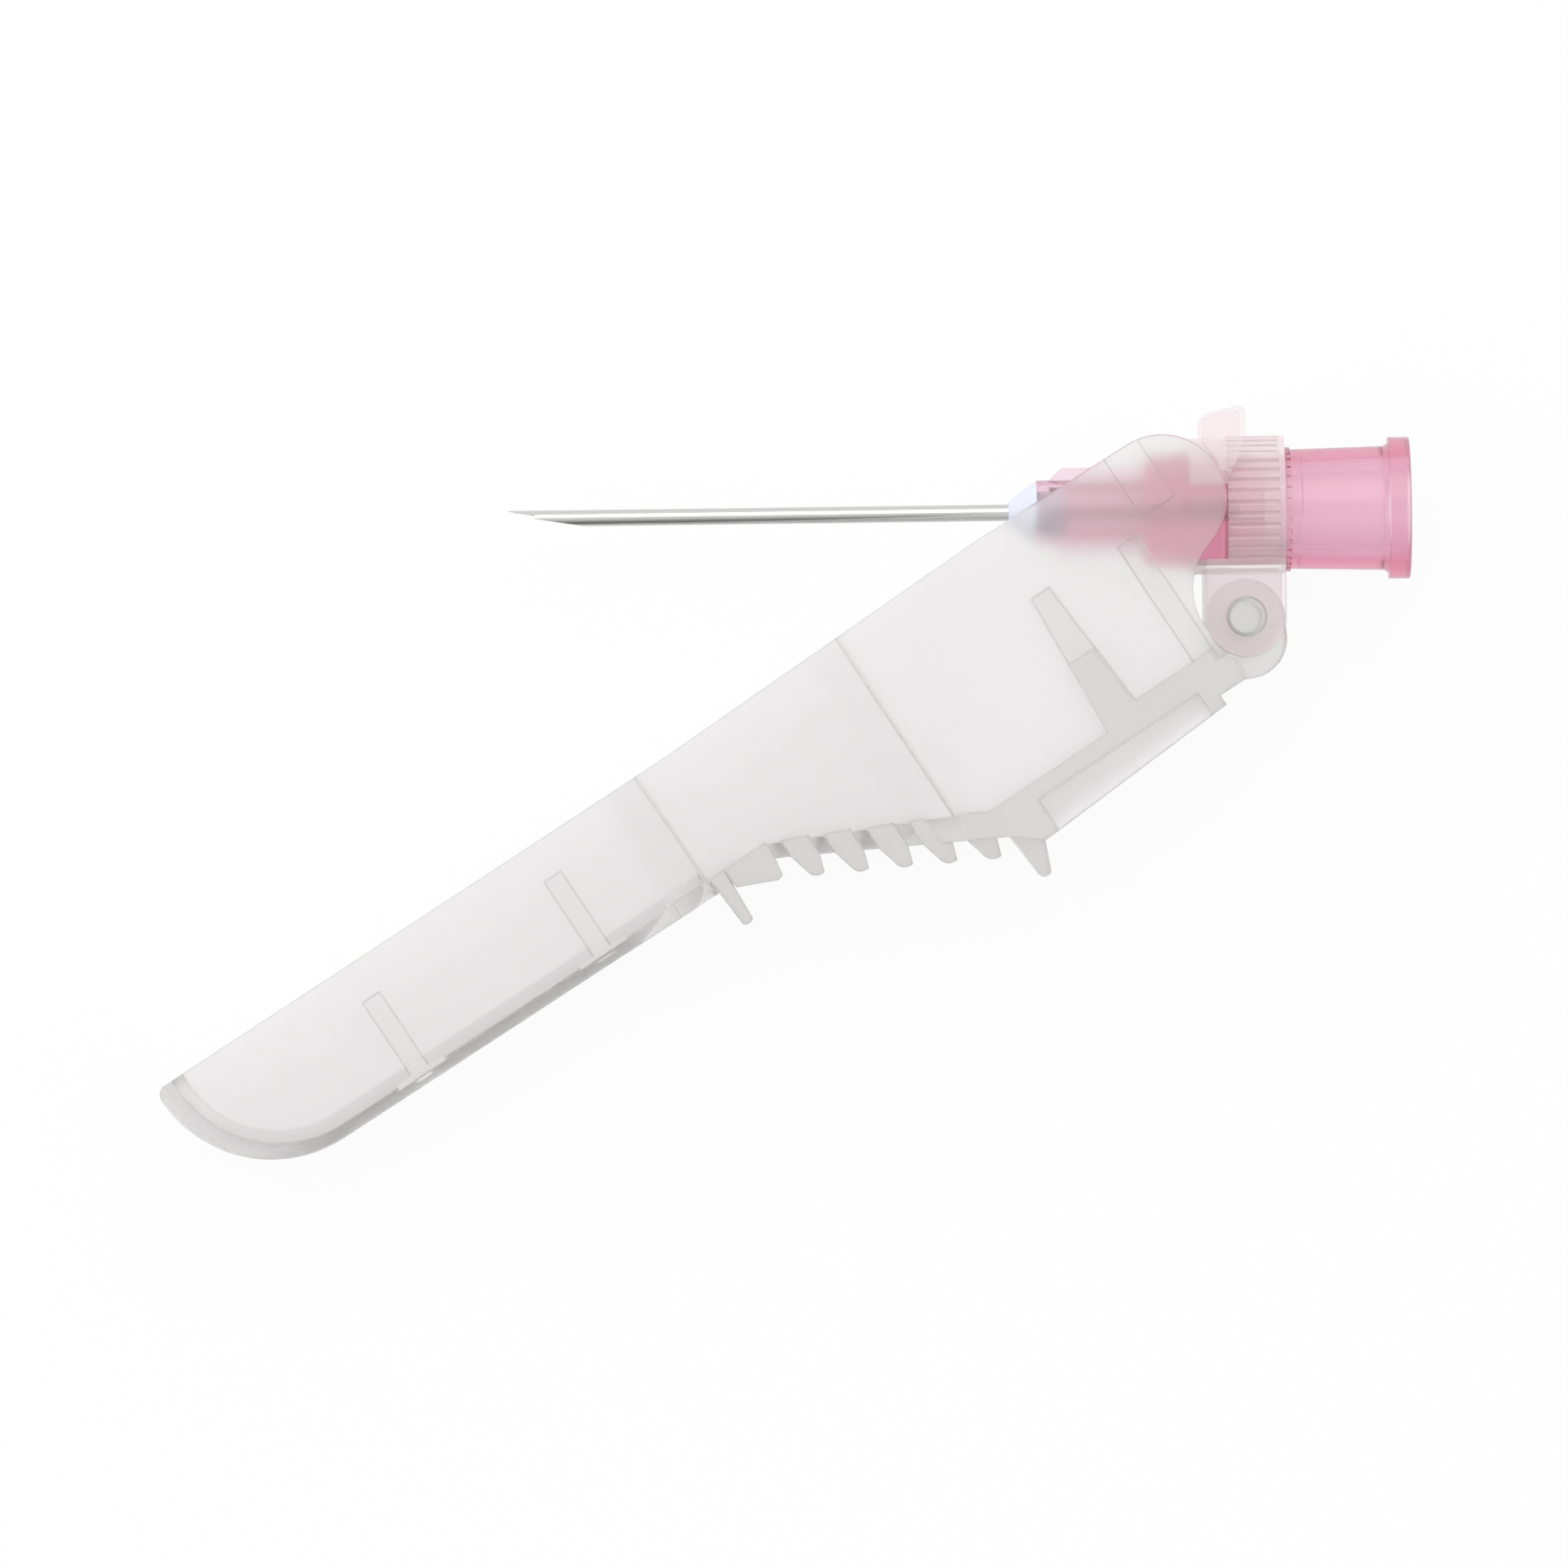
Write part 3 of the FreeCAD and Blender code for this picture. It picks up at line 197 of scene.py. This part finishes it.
def tubeMaterial(look):
    material, tree, place, output = newMaterial("drawn stainless steel")
    # Draw lines: noise stretched along the tube; grinding lines on the point: stretched across it
    along = addNode(tree, "ShaderNodeMapping", {"Scale": (1 / look["drawStretch"], 1.0, 1.0)},
                    {"Vector": place})
    drawn = addNode(tree, "ShaderNodeTexNoise", {"Scale": 1 / look["drawLines"], "Detail": 3.0},
                    {"Vector": along.outputs["Vector"]})
    across = addNode(tree, "ShaderNodeMapping", {"Scale": (1.0, 1.0, 1 / look["grindStretch"])},
                     {"Vector": place})
    ground = addNode(tree, "ShaderNodeTexNoise", {"Scale": 1 / look["grindLines"], "Detail": 2.0},
                     {"Vector": across.outputs["Vector"]})
    spot = addNode(tree, "ShaderNodeSeparateXYZ", {}, {"Vector": place})
    atBevel = addNode(tree, "ShaderNodeMath", {"operation": "LESS_THAN", 1: look["bevelStart"]},
                      {0: spot.outputs["X"]})
    lines = addNode(tree, "ShaderNodeMix", {}, {
        "Factor": atBevel.outputs[0], "A": drawn.outputs["Fac"], "B": ground.outputs["Fac"]})
    shine = addNode(tree, "ShaderNodeMapRange",
                    {"To Min": look["roughness"][0], "To Max": look["roughness"][1]},
                    {"Value": lines.outputs["Result"]})
    colour = addNode(tree, "ShaderNodeMix", {"data_type": "RGBA"}, {"Factor": lines.outputs["Result"]})
    colour.inputs[6].default_value = linear(look["steel"])
    colour.inputs[7].default_value = linear(look["ground"])
    bump = addNode(tree, "ShaderNodeBump", {"Strength": look["lineStrength"], "Distance": look["lineHeight"]},
                   {"Height": lines.outputs["Result"]})
    # Behind the bond's end the steel takes the bond's pale pink: a real adhesive coat, and also painted light
    # over steel that lies in shade inside the hub
    bare = addNode(tree, "ShaderNodeMath", {"operation": "LESS_THAN", 1: look["bondEnd"]},
                   {0: spot.outputs["X"]})
    bondPaintedLightColour = addNode(tree, "ShaderNodeMix", {"data_type": "RGBA"},
                     {"Factor": bare.outputs[0], 7: colour.outputs[2]})
    bondPaintedLightColour.inputs[6].default_value = linear(look["bond"])
    shader = addNode(tree, "ShaderNodeBsdfPrincipled", {}, {
        "Base Color": bondPaintedLightColour.outputs[2], "Metallic": bare.outputs[0], "Roughness": shine.outputs["Result"],
        "Normal": bump.outputs["Normal"]})
    tree.links.new(shader.outputs["BSDF"], output.inputs["Surface"])
    return material


shading = {
    "weld": 0.0005 * mm,  # corners closer than this are one
    "crease": math.radians(24),  # faces that meet at more than this keep their edge
    "lookingBack": -0.3,  # a face of the sheath whose normal turns inwards by more than this is inside
}


def dress(name, material):
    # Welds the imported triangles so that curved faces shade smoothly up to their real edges
    piece = nodes[name]
    mesh = piece.data
    if "custom_normal" in mesh.attributes:
        mesh.attributes.remove(mesh.attributes["custom_normal"])
    mesh.polygons.foreach_set("use_smooth", np.ones(len(mesh.polygons), bool))
    piece.modifiers.new("weld", "WELD").merge_threshold = shading["weld"]
    piece.modifiers.new("edges", "EDGE_SPLIT").split_angle = shading["crease"]
    mesh.materials.clear()
    mesh.materials.append(material)
    mesh.polygons.foreach_set("material_index", np.zeros(len(mesh.polygons), np.int32))
    return mesh


dress("hub", hubMaterial(hubLook))
dress("cannula", tubeMaterial(tubeLook))
dress("nose_cone", coneMaterial(coneLook))
dress("collar", collarMaterial(collarLook))
sheath = dress("sheath", sheathMaterial(sheathLook))
# A face is inside where it looks back across the middle of the sheath
facing = np.empty(len(sheath.polygons) * 3)
sheath.polygons.foreach_get("normal", facing)
middle = np.empty(len(sheath.polygons) * 3)
sheath.polygons.foreach_get("center", middle)
inside = facing[2::3] * np.sign(middle[2::3]) < shading["lookingBack"]
sheath.attributes.new("inside", "FLOAT", "FACE").data.foreach_set("value", inside.astype(np.float32))
print("pieces dressed")

studio = {
    "floorSize": 3.0,
    "floor": "#F4F4F4",
    "floorWhite": 0.93,  # how much of the floor's own shade the white backdrop covers
    "cameraLens": 300.0,
    "cameraSensor": 36.0,
    "frameWidth": 85.97 * mm,  # what the photograph's frame spans beside the needle
    "frameCentre": (-34.44 * mm, -14.71 * mm),
    "roll": -0.74,
    "sky": (0.2, 1.0),  # dark board beside the hinge, light on the far side
    "board": (-0.95, 0.25),  # how far round the board starts and ends fading, from -1 to 1
    "lampSize": 0.3,
    "lamps": {  # place in metres and watts
        "soft box above": ((-0.02, 0.25, 0.35), 0.5),
        "soft box beside": ((-0.25, -0.05, 0.3), 0.25),
    },
}


def whiteForSight(tree, paths):
    # 1 for rays that show the backdrop: seen straight, mirrored or through plastic
    rays = addNode(tree, "ShaderNodeLightPath")
    total = rays.outputs[paths[0]]
    for path in paths[1:]:
        either = addNode(tree, "ShaderNodeMath", {"operation": "MAXIMUM"}, {0: total, 1: rays.outputs[path]})
        total = either.outputs[0]
    return total


def buildFloor(look, level):
    half = look["floorSize"] / 2
    corners = np.array([[-half, -half, 0], [half, -half, 0], [half, half, 0], [-half, half, 0]])
    corners += np.array([look["frameCentre"][0], look["frameCentre"][1], level])
    mesh = bpy.data.meshes.new("floor")
    mesh.from_pydata(corners.tolist(), [], [(0, 1, 2, 3)])
    floor = bpy.data.objects.new("floor", mesh)
    bpy.context.scene.collection.objects.link(floor)
    material, tree, _, output = newMaterial("pale paper")
    plain = addNode(tree, "ShaderNodeBsdfDiffuse", {"Color": linear(look["floor"])})
    white = addNode(tree, "ShaderNodeEmission", {"Color": (1, 1, 1, 1), "Strength": 1.0})
    sight = whiteForSight(tree, ["Is Camera Ray", "Is Glossy Ray", "Is Transmission Ray"])
    share = addNode(tree, "ShaderNodeMath", {"operation": "MULTIPLY", 1: look["floorWhite"]}, {0: sight})
    mixed = addNode(tree, "ShaderNodeMixShader", {}, {
        "Fac": share.outputs[0], 1: plain.outputs["BSDF"], 2: white.outputs["Emission"]})
    tree.links.new(mixed.outputs["Shader"], output.inputs["Surface"])
    mesh.materials.append(material)


def buildWorld(look):
    world = bpy.data.worlds.new("studio")
    world.use_nodes = True
    tree = world.node_tree
    tree.nodes.clear()
    output = addNode(tree, "ShaderNodeOutputWorld")
    direction = addNode(tree, "ShaderNodeTexCoord").outputs["Generated"]
    parts = addNode(tree, "ShaderNodeSeparateXYZ", {}, {"Vector": direction})
    slope = addNode(tree, "ShaderNodeMapRange", {
        "interpolation_type": "SMOOTHSTEP", "From Min": look["board"][0], "From Max": look["board"][1],
        "To Min": look["sky"][0], "To Max": look["sky"][1]}, {"Value": parts.outputs["Y"]})
    sight = whiteForSight(tree, ["Is Camera Ray", "Is Transmission Ray"])
    light = addNode(tree, "ShaderNodeBackground", {"Color": (1, 1, 1, 1)},
                    {"Strength": slope.outputs["Result"]})
    plain = addNode(tree, "ShaderNodeBackground", {"Color": (1, 1, 1, 1), "Strength": 1.0})
    mixed = addNode(tree, "ShaderNodeMixShader", {}, {
        "Fac": sight, 1: light.outputs["Background"], 2: plain.outputs["Background"]})
    tree.links.new(mixed.outputs["Shader"], output.inputs["Surface"])
    bpy.context.scene.world = world


def addLamp(name, place, aim, size, power):
    data = bpy.data.lights.new(name, "AREA")
    data.shape = "SQUARE"
    data.size = size
    data.energy = power
    lamp = bpy.data.objects.new(name, data)
    lamp.location = place
    toAim = np.array(aim) - np.array(place)
    lamp.rotation_mode = "QUATERNION"
    lamp.rotation_quaternion = Vector(toAim.tolist()).to_track_quat("-Z", "Y")
    bpy.context.scene.collection.objects.link(lamp)


def buildCamera(look):
    data = bpy.data.cameras.new("camera")
    data.lens = look["cameraLens"]
    data.sensor_width = look["cameraSensor"]
    camera = bpy.data.objects.new("camera", data)
    distance = look["frameWidth"] * look["cameraLens"] / data.sensor_width
    camera.location = (look["frameCentre"][0], look["frameCentre"][1], distance)
    camera.rotation_euler = (0.0, 0.0, math.radians(look["roll"]))
    data.clip_start, data.clip_end = 0.05, 20.0
    bpy.context.scene.collection.objects.link(camera)
    bpy.context.scene.camera = camera


buildFloor(studio, cadBox[0][2])
buildWorld(studio)
centre = (studio["frameCentre"][0], studio["frameCentre"][1], 0.0)
for name, (place, power) in studio["lamps"].items():
    addLamp(name, place, centre, studio["lampSize"], power)
buildCamera(studio)
bpy.context.scene.view_settings.view_transform = "Standard"
print("studio built")
